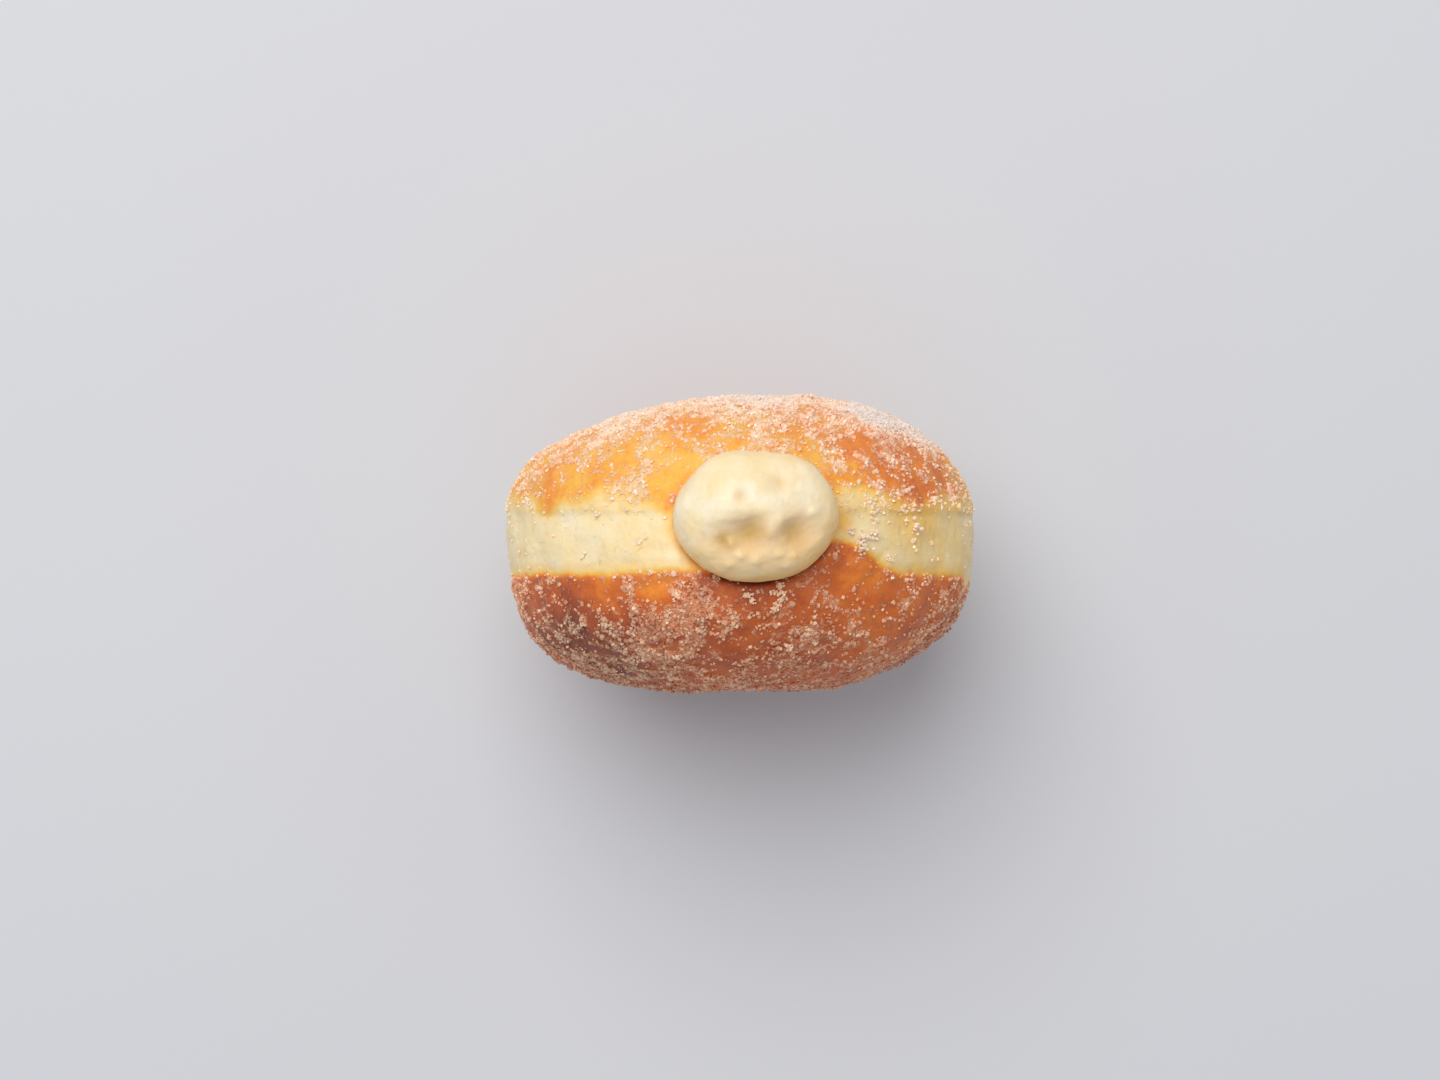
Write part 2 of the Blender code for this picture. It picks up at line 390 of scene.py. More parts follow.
def browning_and_shade_of(points):
    """How far each place is fried, from 0 to 1, with painted shade below the cream."""
    above, below = band_edges(points)
    patchy = CRUST_PATCHINESS * soft_noise(points, 9 * MM, seed=21)
    patchy = patchy + CRUST_SPECKLE * soft_noise(points, 3 * MM, seed=22)
    patchy = patchy + spots(points, BROWNING_AND_SHADE)
    deeper = PALE_CRUST_DEEPENS * step(above, 2 * MM, 14 * MM)
    pale = ABOVE_CREASE * step(points[:, 1], CREASE - 0.5 * MM, CREASE + 0.5 * MM)
    pale += PALE_CRUST * step(above, -2.0 * MM, 1.6 * MM) + deeper
    brown = BROWN_CRUST * step(below, -1.1 * MM, 0.8 * MM)
    brown += BROWN_CRUST_DEEPENS * step(below, 0.5 * MM, 13 * MM)
    fried = pale + brown
    tones = spots(points, BAND_TONES) + TAN_ABOVE_LOW_LINE * step(below, -3.2 * MM, -0.6 * MM)
    # Painted shadow: on the brown side the ring round the dollop is darkened where the dollop's shadow
    # falls.
    rim_tone_and_shadow = HOLE_RIM_ON_BAND + DOLLOP_SHADOW_ON_BROWN * step(below, 0, 1.5 * MM)
    tones += rim_tone_and_shadow * hole_rim(points)
    tones += RAW_DOUGH + BAND_PATCHINESS * rough_noise(points, 5 * MM, 2, seed=23)
    return np.clip(fried + patchy * np.minimum(fried * PATCHY_WHERE_FRIED, 1) + tones, 0, 1)


browning_and_shade = browning_and_shade_of(skin)
print("browning of the skin, from 0 to 1:", round(browning_and_shade.min(), 2), "to", round(browning_and_shade.max(), 2))

# %% [markdown]
# Where sugar lies on the skin.
#
# Sugar sticks to the crust and hardly to the dry band. On the crust it lies in patches, thick
# in some places and rubbed off in others, and inside a patch it gathers in thin drifts, like
# veins with gaps between them. Three rules give these as numbers: `bare_of`, `dust_of` and
# `drifts_of`. The same rules later say where the crystals lie and how white they are, so that
# the dust on the skin and the crystals above it agree.

# %% Name the bare, the dusty and the thickly sugared patches
BARE = (
    ("orange streak", (-36.4, 12, 23), 3.2, 1.0),
    ("orange streak's end", (-36.3, 7.5, 26), 2.6, 1.0),
    ("orange patch beside the streak", (-32, 11, 29.5), 2.8, 1.0),
    ("gold patch on the left", (-23.5, 15.5, 32.5), 2.3, 1.0),
    ("low gold patch on the left", (-27.2, 11.7, 33.2), 2.4, 0.9),
    ("large gold patch left of the cream", (-11.5, 12.8, 41), 4.0, 1.2),
    ("gold patch in the upper middle", (-7.5, 20.3, 34), 3.2, 0.9),
    ("gold above it", (-14, 17.5, 35.5), 2.6, 0.7),
    ("gold patch above the cream's right", (12, 17.2, 37), 2.8, 0.8),
    ("gold right of the cream", (14.5, 12, 40.5), 3.0, 0.8),
    ("bare shoulder on the right", (23, 18.5, 30), 3.0, 0.9),
    ("orange patch on the right", (27.4, 12.1, 33.3), 2.6, 1.0),
    ("orange patch on the far right", (33.3, 10.3, 28), 2.8, 1.0),
    ("orange below the line, far left", (-26, -9.2, 36.3), 3.8, 1.2),
    ("orange below the line, left", (-15.8, -8.6, 42.4), 3.2, 1.2),
    ("orange below the line, right", (23, -7.0, 38), 4.6, 0.9),
    # Painted shade: the skin is kept bare below the cream, so the crust stays dark where the dollop's
    # shadow falls.
    ("lee below the cream", (3, -9, 45), 5.0, 0.6),
    ("bare crust on the lower right", (31, -14.5, 28), 4.5, 0.55),
    ("nick left of the cream", (-14.4, 7.2, 43), 2.0, 1.0),
)
HEAVY = (
    ("thick patch on the pale corner", (27, 24.5, 13), 7, 1.4),
    ("rest of the pale corner", (38, 19, 15), 6, 0.25),
    ("thin on the brown corner", (34.5, 14.5, 23), 6, -0.36),
    ("rim of the pale crust", (0, 27, 20), 12, 0.35),
    ("clump below the cream", (-14, -16.6, 39.4), 5.5, 0.90),
    ("clump's upper arm", (-8, -11, 44.4), 3.5, 0.8),
    ("clump's lower arm", (-17, -21, 33), 5, 0.6),
    ("dusty lower left", (-30, -24, 14), 9, 0.4),
    ("dusty lower right rim", (32, -22, 16), 7, 0.5),
    ("thin on the lower right", (28, -12, 33), 11, -0.14),
    ("thin below the cream's right", (16, -12, 41), 7, -0.18),
    ("thin below the line, far left", (-37, -13, 22), 7, -0.28),
    ("thin on the dark lower left", (-27, -18.5, 27), 5, -0.22),
)
THICK = (
    ("white patch on the pale corner", (25.5, 24.3, 15), 5.5, 1.8),
    ("edge of the white patch", (34, 21.5, 12), 4.5, 0.6),
    ("rim of the pale crust", (2, 28, 14), 11, 0.65),
    ("rim of the pale crust, left", (-22, 24, 18), 9, 0.35),
)

# %% Work out how much sugar each place holds
BARE_PATCH = 4.4 * MM
BARE_WHERE = (0.22, 0.46)
BARE_STRENGTH = 0.65
DUST_ALL_OVER = 0.49
DUST_ON_PALE_SIDE = 0.13
DUST_PATCHINESS = 0.36
DUST_SPECKLE = 0.50
DUST_OFF_BARE_SKIN = 0.92
DUST_OFF_BAND = 0.45
DUST_OFF_BELOW_CREASE = 0.45
VEIN_SPACING = 2.7 * MM
VEIN_WIDTH = 0.26
DRIFT_ALL_OVER = 0.21
DRIFT_ON_VEIN = 0.50
DRIFT_UNEVENNESS = 0.27


def bare_of(points):
    """1 where the sugar has come off and the fried skin shows, 0 elsewhere."""
    chance = step(soft_noise(points, BARE_PATCH, seed=61), *BARE_WHERE)
    return np.clip(BARE_STRENGTH * chance + spots(points, BARE), 0, 1)


def dust_of(points):
    """How much of each place fine sugar covers, from 0 for none to 1 for all of it."""
    on_band = band_share(points)
    pale_side = step(points[:, 1], -CREASE, CREASE)
    patchy = DUST_ALL_OVER + DUST_ON_PALE_SIDE * pale_side
    patchy = patchy + DUST_PATCHINESS * soft_noise(points, 8 * MM, seed=31)
    patchy += DUST_SPECKLE * rough_noise(points, 3.2 * MM, 2, seed=32)
    dusty = (patchy + spots(points, HEAVY)) * (1 - DUST_OFF_BARE_SKIN * bare_of(points))
    below_crease = step(-points[:, 1], -CREASE - 1 * MM, -CREASE + 1 * MM)
    wiped = on_band * (DUST_OFF_BAND + DUST_OFF_BELOW_CREASE * below_crease)
    return np.clip(dusty * (1 - wiped), 0, 1)


def veins(points, spacing, seed):
    """1 along a net of wandering lines and 0 between them."""
    return 1 - np.clip(np.abs(soft_noise(points, spacing, seed)) / VEIN_WIDTH, 0, 1)


def drifts_of(points):
    """How much sugar gathers at each place, from 0 for a gap to 1 for a drift."""
    gathered = DRIFT_ALL_OVER + DRIFT_ON_VEIN * veins(points, VEIN_SPACING, seed=51)
    gathered = gathered + DRIFT_UNEVENNESS * soft_noise(points, 2.2 * MM, seed=52)
    return np.clip(gathered, 0, 1)


# %% [markdown]
# Numbers that ride on the mesh.
#
# An attribute holds one number for each vertex, and a material can read it by its name. Four
# of them go with the skin: how brown it is, how dusty, how the sugar drifts, and where it is
# thick. Painting by hand would give the same attributes. Rules are easier to adjust, and they
# fit the far side too.


# %% Store the browning and the sugar on the skin
def store(piece, name, values):
    attribute = piece.data.attributes.new(name, "FLOAT", "POINT")
    attribute.data.foreach_set("value", values.astype(np.float32))


dust = dust_of(skin)
store(dough, "browning_and_shade", browning_and_shade)
store(dough, "dust", dust)
store(dough, "drift", drifts_of(skin))
store(dough, "thick", np.clip(spots(skin, THICK), 0, 1) * (skin[:, 1] > 0))
print("share of the skin that dust covers:", round(float(dust.mean()), 2))

# %% [markdown]
# Building materials.
#
# A material is a net of nodes. `Finish` is a short hand for it: it adds a node with its
# settings and links, so that each material below reads like a recipe. The Principled shader
# stands at the end of each one.


# %% A short hand for node materials
def linear(red, green, blue):
    """A colour as a picture shows it, 0 to 255, as the light values that shaders use."""
    shares = [channel / 255 for channel in (red, green, blue)]
    bent = [s / 12.92 if s <= 0.04045 else ((s + 0.055) / 1.055) ** 2.4 for s in shares]
    return (*bent, 1.0)


class Finish:
    """A material that is built up one node at a time."""

    def __init__(self, name):
        self.material = bpy.data.materials.new(name)
        self.material.use_nodes = True
        self.nodes = self.material.node_tree.nodes
        self.shader = self.nodes["Principled BSDF"]
        self.place = self.add("ShaderNodeTexCoord").outputs["Object"]

    def add(self, kind, inputs=(), **settings):
        node = self.nodes.new(kind)
        for setting, value in settings.items():
            setattr(node, setting, value)
        for socket, value in dict(inputs).items():
            if isinstance(value, bpy.types.NodeSocket):
                self.material.node_tree.links.new(value, node.inputs[socket])
            else:
                node.inputs[socket].default_value = value
        return node

    def stored(self, name):
        """The number that the mesh carries under this name."""
        return self.add("ShaderNodeAttribute", attribute_name=name).outputs["Fac"]

    def noise(self, size, detail, roughness):
        """Noise with lumps of the given size in metres, as a number from 0 to 1."""
        inputs = {"Vector": self.place, "Scale": 1 / size, "Detail": detail, "Roughness": roughness}
        return self.add("ShaderNodeTexNoise", inputs).outputs["Fac"]

    def ramp(self, factor, stops):
        node = self.add("ShaderNodeValToRGB", {"Fac": factor})
        points = node.color_ramp.elements
        while len(points) < len(stops):
            points.new(0.5)
        for point, (position, colour) in zip(points, stops):
            point.position = position
            point.color = colour
        return node.outputs["Color"]

    def mix(self, factor, first, second):
        node = self.add("ShaderNodeMix", data_type="RGBA")
        for socket, value in ((0, factor), (6, first), (7, second)):
            if isinstance(value, bpy.types.NodeSocket):
                self.material.node_tree.links.new(value, node.inputs[socket])
            else:
                node.inputs[socket].default_value = value
        return node.outputs[2]

    def math(self, operation, first, second=0.0, clamp=False):
        inputs = {0: first, 1: second}
        return self.add("ShaderNodeMath", inputs, operation=operation, use_clamp=clamp).outputs[0]

    def set(self, **sockets):
        for name, value in sockets.items():
            socket = self.shader.inputs[name.replace("_", " ")]
            if isinstance(value, bpy.types.NodeSocket):
                self.material.node_tree.links.new(value, socket)
            else:
                socket.default_value = value

    def bump(self, height, strength, distance, before=None):
        inputs = {"Height": height, "Strength": strength, "Distance": distance}
        if before is not None:
            inputs["Normal"] = before
        return self.add("ShaderNodeBump", inputs).outputs["Normal"]


# %% [markdown]
# The dough's finish.
#
# Frying takes dough from cream through gold and orange to brown. A colour ramp holds those
# colours in order and the stored browning, which also carries the painted shade below the
# cream, picks from it. Fine noise moves the pick about, which gives the speckled look of a
# crust. Over that lies a veil of sugar dust: it comes in frosted dabs, more of them where the
# stored drift and dust are high, and each dab is grainy. The crust has a faint oily sheen, and
# light enters the pale dough a little, which the subsurface setting gives.

# %% Name the colours of the dough and the sizes of its grain
FRIED_COLOURS = (
    (0.00, linear(252, 235, 196)),
    (0.10, linear(250, 217, 152)),
    (0.20, linear(249, 201, 106)),
    (0.34, linear(250, 184, 68)),
    (0.50, linear(243, 143, 38)),
    (0.68, linear(217, 107, 30)),
    (0.84, linear(181, 80, 31)),
    (1.00, linear(127, 55, 28)),
)
VEIL_ON_GOLD = linear(255, 224, 190)
VEIL_ON_BROWN = linear(252, 180, 134)
THICK_SUGAR = linear(238, 222, 212)
GOLD_TO_BROWN = (0.50, 0.76)
BLACK = (0, 0, 0, 1)
WHITE = (1, 1, 1, 1)
GREY = (0.45, 0.45, 0.45, 1)
SPECKLE = 1.3 * MM
SPECKLE_STRENGTH = 0.34
BLISTER = 1.5 * MM
FINE_WRINKLE = 0.9 * MM
FROST_PATCH = 1.3 * MM
FROST_EDGE = (0.71, 0.81)
FROST_BY_DRIFT = 0.16
FROST_BY_DUST = 0.30
FROST_COVER = 0.86
THIN_COVER = 0.08
THICK_COVER = 0.85
GRAIN_OF_DUST = 0.35 * MM
GRAIN_EDGE = (0.40, 0.58)
CRUST_BUMP = 0.3 * MM


# %% Colour and finish the dough
def speckled_crust(finish, fried):
    """The fried colour, with the pick moved about by fine noise where the skin is fried."""
    on_crust = finish.math("MULTIPLY", fried, 3.0, clamp=True)
    speckle = finish.math("SUBTRACT", finish.noise(SPECKLE, 4.0, 0.65), 0.5)
    speckle = finish.math("MULTIPLY", speckle, SPECKLE_STRENGTH)
    speckle = finish.math("MULTIPLY", speckle, on_crust)
    return finish.ramp(finish.math("ADD", fried, speckle, clamp=True), FRIED_COLOURS)


def grainy_frost(finish, dust):
    """1 in grainy dabs of fine sugar, where drift and dust are high, and 0 between them."""
    drift = finish.stored("drift")
    by_drift = finish.math("MULTIPLY", drift, FROST_BY_DRIFT)
    by_dust = finish.math("MULTIPLY", dust, FROST_BY_DUST)
    gathered = finish.math("ADD", by_drift, by_dust)
    gathered = finish.math("ADD", gathered, finish.noise(FROST_PATCH, 4.0, 0.6))
    frost = finish.ramp(gathered, ((FROST_EDGE[0], BLACK), (FROST_EDGE[1], WHITE)))
    grains = finish.noise(GRAIN_OF_DUST, 2.0, 0.6)
    grains = finish.ramp(grains, ((GRAIN_EDGE[0], GREY), (GRAIN_EDGE[1], WHITE)))
    return finish.math("MULTIPLY", frost, grains)


def dough_finish():
    finish = Finish("fried dough")
    # The stored browning also holds the painted shade below the cream.
    fried = finish.stored("browning_and_shade")
    dust = finish.stored("dust")
    crust = speckled_crust(finish, fried)
    frost = grainy_frost(finish, dust)
    thin = finish.math("MULTIPLY", dust, THIN_COVER)
    veil = finish.math("ADD", thin, finish.math("MULTIPLY", frost, FROST_COVER))
    veil_stops = ((GOLD_TO_BROWN[0], VEIL_ON_GOLD), (GOLD_TO_BROWN[1], VEIL_ON_BROWN))
    colour = finish.mix(veil, crust, finish.ramp(fried, veil_stops))
    thickly = finish.math("MULTIPLY", finish.stored("thick"), THICK_COVER)
    colour = finish.mix(thickly, colour, THICK_SUGAR)
    blisters = finish.add("ShaderNodeTexVoronoi", {"Vector": finish.place, "Scale": 1 / BLISTER})
    wrinkled = finish.bump(finish.noise(FINE_WRINKLE, 5.0, 0.6), 0.45, CRUST_BUMP)
    blistered = finish.bump(blisters.outputs["Distance"], 0.2, CRUST_BUMP, before=wrinkled)
    finish.set(
        Base_Color=colour,
        Roughness=0.55,
        Subsurface_Weight=0.25,
        Subsurface_Radius=(1.0, 0.45, 0.2),
        Subsurface_Scale=1.8 * MM,
        Normal=finish.bump(frost, 0.6, CRUST_BUMP, before=blistered),
        Coat_Weight=0.08,
        Coat_Roughness=0.35,
    )
    return finish.material


dough.data.materials.append(dough_finish())
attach(dough, "root")
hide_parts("dough")

# %% [markdown]
# The cream.
#
# Pastry cream is piped in until it wells out of the hole. It keeps the shape that it flowed
# in: a heavy dome, an upper lobe that folds over the one below, and small tears where the
# nozzle let go. The solid has the dome and its hollows, so its copy gets the same soft skin as
# the dough, and finer ripples.

# %% Name the forms of the cream
CREAM_FORMS = (
    ("upper lobe", (-4.5, 8.5, 54), 7.0, 0.5),
    ("nose of the upper lobe", (-1.2, 6.2, 55.5), 2.4, 0.3),
    ("dimple of the upper lobe", (-0.1, 8.7, 55.3), 1.2, -0.25),
    ("hollow in the middle", (1.4, 1.6, 54.5), 2.9, -0.60),
    ("left end of that hollow", (-3.4, 0.6, 54.4), 2.0, -0.60),
    ("hollow on the right", (9.6, 2.0, 53.2), 2.8, -0.55),
    ("low end of the ridge", (5.1, 1.9, 55), 1.3, 0.5),
    ("middle of the ridge", (7.6, 4.3, 55), 1.7, 0.35),
    ("high end of the ridge", (10.4, 5.9, 54), 1.7, 0.35),
    ("knob", (12.9, 5.8, 53.1), 1.1, 0.5),
    ("lip below the hollow", (0.5, -2.6, 54.0), 2.6, 0.35),
    ("crumb in the hollow", (-2.0, 0.1, 54.5), 0.9, 0.7),
    ("crumb on the lip", (-0.1, -2.1, 54.2), 0.8, 0.45),
    ("second crumb on the lip", (2.8, -3.2, 53.7), 0.9, 0.45),
    ("small lump on the right", (6.7, -1.9, 53.4), 0.8, 0.35),
    ("small lump by the right hollow", (9.5, -1.9, 52.4), 0.9, 0.35),
    ("small lump near the lower edge", (-2.2, -3.8, 53.0), 0.9, 0.4),
    ("lump at the lower right edge", (8.1, -3.8, 51.6), 1.0, 0.35),
    ("lower right swell", (8.6, -2.6, 52), 2.6, 0.35),
    ("lower left swell", (-7.5, -0.5, 52), 3.2, 0.35),
    ("groove on the left", (-7.0, 1.0, 53.6), 1.4, -0.15),
    ("tuft at the top", (4.4, 15.6, 48), 1.4, 0.45),
    ("second tuft at the top", (8.0, 15.0, 47.5), 1.4, 0.45),
    ("groove on the upper right", (6.5, 11, 53), 1.8, -0.3),
)
LOBE_EDGE = ((-8, -4.5, -1, 1.5, 5, 8), (2.9, 3.7, 4.2, 4.7, 5.5, 7.2))

# %% Shape the cream
CREAM_NET = 0.7 * MM
LOBE_EDGE_HEIGHT = 0.20 * MM
TOP_ALLOWANCE = 0.6 * MM
CREAM_RIPPLE = 0.20 * MM
CREAM_GRAIN = 0.05 * MM
FOLD_SHARPNESS = 0.8 * MM
FOLD_FADES_OVER = 3 * MM


def fold(points, edge, height, sharpness):
    """A ledge along a line seen from above: proud on its +Y side and sunk on the other."""
    from_hub = points - np.array(hub)
    across, along = np.array(edge[0]) * MM, np.array(edge[1]) * MM
    past = from_hub[:, 1] - np.interp(from_hub[:, 0], across, along)
    near = np.exp(-((past / (3 * sharpness)) ** 2))
    begun = step(from_hub[:, 0], across[0], across[0] + FOLD_FADES_OVER)
    not_ended = step(-from_hub[:, 0], -across[-1], -across[-1] + FOLD_FADES_OVER)
    return height * np.tanh(past / sharpness) * near * (begun * not_ended)


cream = copy_of_solid("cream", "cream_dollop")
apply_modifier(cream, "REMESH", mode="VOXEL", voxel_size=CREAM_NET, use_smooth_shade=True)
apply_modifier(cream, "SMOOTH", factor=0.5, iterations=6)
apply_modifier(cream, "SUBSURF", levels=1, render_levels=1)
surface = points_of(cream)
in_the_open = step(surface[:, 2], dollop_middle.z - 1 * MM, dollop_middle.z + 2 * MM)
# The depth of the hollows also sets the painted shade in their colour.
hollow_shade = -spots(surface, [form for form in CREAM_FORMS if form[3] < 0])
ripples = CREAM_RIPPLE * rough_noise(surface, 3.2 * MM, 3, seed=41)
swelling = spots(surface, CREAM_FORMS) * MM
swelling += fold(surface, LOBE_EDGE, LOBE_EDGE_HEIGHT, FOLD_SHARPNESS)
swelling += ripples + CREAM_GRAIN * soft_noise(surface, 0.9 * MM, seed=42)
swelling -= TOP_ALLOWANCE * step(surface[:, 2], cream_high.z - 5 * MM, cream_high.z - 1 * MM)
surface += normals_of(cream) * (swelling * in_the_open)[:, None]
move_points(cream, surface)
print("cream:", triangle_count(cream), "triangles")

# %% [markdown]
# Where the cream gets painted shade.
#
# Cream looks nearly white where it bulges towards the light and yellower where it is hollow,
# low or turned away, because light that bounces about inside picks up its colour. That warm
# shade is painted into its colour here. Two more stored numbers say where: one for the painted
# shade in the hollows, and one for the painted shade on the rim and the shaded side, which also
# gives the top side a little yellow tone.

# %% Store the cream's painted shade in its hollows and on its rim
HOLLOW_SHADE_STRENGTH = 1.5
LOW_RIM_PAINTED_SHADE = 0.45
LOW_RIM_PAINTED_SHADE_ON_SHADED_SIDE = 0.55
PAINTED_SHADE_YELLOW = 0.5
TOP_YELLOW = 0.2
SHADE_LEANS_RIGHT = 0.3

lowness = step(-surface[:, 2], -cream_high.z + 3.0 * MM, -cream_high.z + 11 * MM)
down_and_right = -surface[:, 1] + SHADE_LEANS_RIGHT * surface[:, 0]
shade_side = step(down_and_right, -dollop_middle.y - 4 * MM, -dollop_middle.y + 11 * MM)
top_side = step(surface[:, 1], dollop_middle.y + 2 * MM, dollop_middle.y + 9 * MM)
# Painted shade: the low rim and the side turned from the lamp are made yellower in place of their
# shade, and the top side gets a little yellow tone.
shade_and_yellow = lowness * (LOW_RIM_PAINTED_SHADE + LOW_RIM_PAINTED_SHADE_ON_SHADED_SIDE * shade_side)
shade_and_yellow = shade_and_yellow + PAINTED_SHADE_YELLOW * shade_side + TOP_YELLOW * top_side
store(cream, "hollow", np.clip(HOLLOW_SHADE_STRENGTH * hollow_shade, 0, 1))
store(cream, "rim", np.clip(shade_and_yellow, 0, 1))
print("share of the cream that is yellower:", round(float(np.clip(shade_and_yellow, 0, 1).mean()), 2))


# %% [markdown]
# The cream's finish.
#
# Cream is nearly one colour, but light goes deep into it, which softens every shadow. So it
# gets more subsurface than the dough and a satin gloss. It drifts between ivory and yellow. Its
# hollows get a deeper, warmer painted shade, and its rim and shaded side a yellower painted
# shade. A few ground specks of vanilla are left in it.

# %% Finish the cream
IVORY = linear(254, 237, 208)
YELLOW_CREAM = linear(251, 226, 176)
SHADE_AND_YELLOW_CREAM = linear(255, 199, 116)
HOLLOW_SHADE_CREAM = linear(205, 161, 72)
VANILLA = linear(140, 118, 70)
SHADE_AND_YELLOW_COVER = 0.9
HOLLOW_SHADE_COVER = 0.88
VANILLA_COVER = 0.35
VANILLA_SPACING = 6.3 * MM
VANILLA_EDGE = (0.025, 0.05)


def cream_finish():
    finish = Finish("pastry cream")
    colour = finish.ramp(finish.noise(5 * MM, 3.0, 0.5), ((0.35, IVORY), (0.70, YELLOW_CREAM)))
    # Painted shade on the rim and the shaded side, with a little yellow tone on the top side.
    rim = finish.math("MULTIPLY", finish.stored("rim"), SHADE_AND_YELLOW_COVER)
    colour = finish.mix(rim, colour, SHADE_AND_YELLOW_CREAM)
    # Painted shade: the hollows are mixed towards a deeper, warmer cream.
    hollow = finish.math("MULTIPLY", finish.stored("hollow"), HOLLOW_SHADE_COVER)
    colour = finish.mix(hollow, colour, HOLLOW_SHADE_CREAM)
    spacing = {"Vector": finish.place, "Scale": 1 / VANILLA_SPACING}
    specks = finish.add("ShaderNodeTexVoronoi", spacing).outputs["Distance"]
    specks = finish.ramp(specks, ((VANILLA_EDGE[0], WHITE), (VANILLA_EDGE[1], BLACK)))
    colour = finish.mix(finish.math("MULTIPLY", specks, VANILLA_COVER), colour, VANILLA)
    grain = finish.bump(finish.noise(0.8 * MM, 4.0, 0.55), 0.35, 0.25 * MM)
    finish.set(
        Base_Color=colour,
        Roughness=0.42,
        Subsurface_Weight=0.5,
        Subsurface_Radius=(1.0, 0.82, 0.5),
        Subsurface_Scale=1.4 * MM,
        Normal=grain,
    )
    return finish.material


cream.data.materials.append(cream_finish())
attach(cream, "root")
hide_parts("cream")

# %% [markdown]
# Sugar crystals.
#
# A crystal of granulated sugar is a small block with cut corners. A coarse one is modelled by
# hand: a cube whose corners are bevelled. A fine one stays a plain block, because its corners
# are too small to see. Each copy is then stretched and chipped a little in its own way.


# %% Model one coarse and one fine crystal
def model_crystal(name, corner_cut):
    """A block one unit across, as arrays of points and faces."""
    bpy.ops.mesh.primitive_cube_add(size=1)
    block = bpy.context.object
    block.name = name
    if corner_cut:
        bpy.ops.object.mode_set(mode="EDIT")
        bpy.ops.mesh.select_all(action="SELECT")
        bpy.ops.mesh.bevel(offset=corner_cut, affect="VERTICES")
        bpy.ops.object.mode_set(mode="OBJECT")
    apply_modifier(block, "TRIANGULATE")
    points = points_of(block)
    faces = np.array([list(polygon.vertices) for polygon in block.data.polygons])
    bpy.data.objects.remove(block)
    return points, faces


CORNER_CUT = 0.22
coarse_block = model_crystal("coarse_crystal", CORNER_CUT)
fine_block = model_crystal("fine_crystal", 0.0)
print("faces of a coarse and a fine crystal:", len(coarse_block[1]), len(fine_block[1]))


# %% [markdown]
# Where sugar sticks.
#
# The crystals follow the rules of the dust and its drifts, so each triangle of the skin gets a
# share of sugar from them. A power above one empties the gaps and fills the drifts. No sugar
# goes under the cream, into the filling's pocket, or under the doughnut where it stands.


# %% Give each triangle of the skin its share of sugar
def triangles_of(piece):
    piece.data.calc_loop_triangles()
    corners = np.empty(len(piece.data.loop_triangles) * 3, int)
    piece.data.loop_triangles.foreach_get("vertices", corners)
    return points_of(piece)[corners.reshape(-1, 3)]


SUGAR_AMOUNT = 1.9
LEAST_SHARE = 0.02
LARGEST_SHARE = 1.8
GATHERING = 1.4
CLEAR_OF_CREAM = 0.4 * MM
CLEAR_OF_FLOOR = 1.2 * MM
LEAST_AREA = 1e-12


def sugar_share(middles, normals):
    """How much sugar lies at each place, from 0 for none."""
    heaped = (dust_of(middles) + spots(middles, THICK)) * SUGAR_AMOUNT * drifts_of(middles)
    share = np.clip(heaped, LEAST_SHARE, LARGEST_SHARE) ** GATHERING
    faces_out = np.einsum("ij,ij->i", normals, middles - np.array(filling_middle)) > 0
    from_dollop = middles - np.array(dollop_middle)
    from_dollop = from_dollop / (np.array(DOLLOP_HALF_SIZE) + CLEAR_OF_CREAM)
    clear_of_cream = (np.linalg.norm(from_dollop, axis=1) > 1) | (middles[:, 2] < hub.z)
    return share * faces_out * clear_of_cream * (middles[:, 2] > CLEAR_OF_FLOOR)


triangles = triangles_of(dough)
across = np.cross(triangles[:, 1] - triangles[:, 0], triangles[:, 2] - triangles[:, 0])
areas = np.linalg.norm(across, axis=1) / 2
facing = across / np.maximum(2 * areas, LEAST_AREA)[:, None]
shares = sugar_share(triangles.mean(1), facing)
print("skin that can hold sugar, square cm:", round(float(areas[shares > 0].sum()) * 1e4, 1))


# %% [markdown]
# Scattering the crystals.
#
# Particles or instances would scatter copies too, but a joined mesh is what other programs can
# read, so the copies are worked out as arrays: pick a triangle of the skin by its area and its
# share of sugar, pick a place in it, then turn and scale the block. A seeded generator draws
# the places and sizes, so the sugar lies the same way each time. A crystal is sunk by part of
# its size, because it stuck while the fat was wet.


# %% Turn, colour and join the crystals
CHIPPED = 0.09
THINNEST = 0.5
BLOCK_REACH = math.sqrt(3) * (0.5 + CHIPPED)
WHITE_BY_DRIFT = 0.65
WHITE_BY_THICKNESS = 0.5
PAINTED_GLINT_BY_CHANCE = 0.5
WHITE_ON_PALE_SIDE = 0.16
FEW_HAVE_PAINTED_GLINT = 1.8


def random_turns(draw, count):
    """One random rotation matrix for each crystal, from random quaternions."""
    quaternions = draw.normal(size=(4, count))
    w, x, y, z = quaternions / np.linalg.norm(quaternions, axis=0)
    rows = (
        (1 - 2 * (y * y + z * z), 2 * (x * y - z * w), 2 * (x * z + y * w)),
        (2 * (x * y + z * w), 1 - 2 * (x * x + z * z), 2 * (y * z - x * w)),
        (2 * (x * z - y * w), 2 * (y * z + x * w), 1 - 2 * (x * x + y * y)),
    )
    return np.moveaxis(np.array(rows), 2, 0)


def whiteness_of(places, draw):
    """How white each crystal is. Most let the crust show through; a few get white by chance as a
    painted glint, and heaped sugar is whiter.
    """
    pale_side = step(places[:, 1], -4 * MM, 9 * MM)
    # Painted glint: a few crystals are made white by chance, in place of light glinting off them.
    own = draw.random(len(places)) ** FEW_HAVE_PAINTED_GLINT
    heaped = WHITE_BY_DRIFT * drifts_of(places) + WHITE_BY_THICKNESS * spots(places, THICK)
    return np.clip(WHITE_ON_PALE_SIDE * pale_side + PAINTED_GLINT_BY_CHANCE * own + heaped, 0, 1)


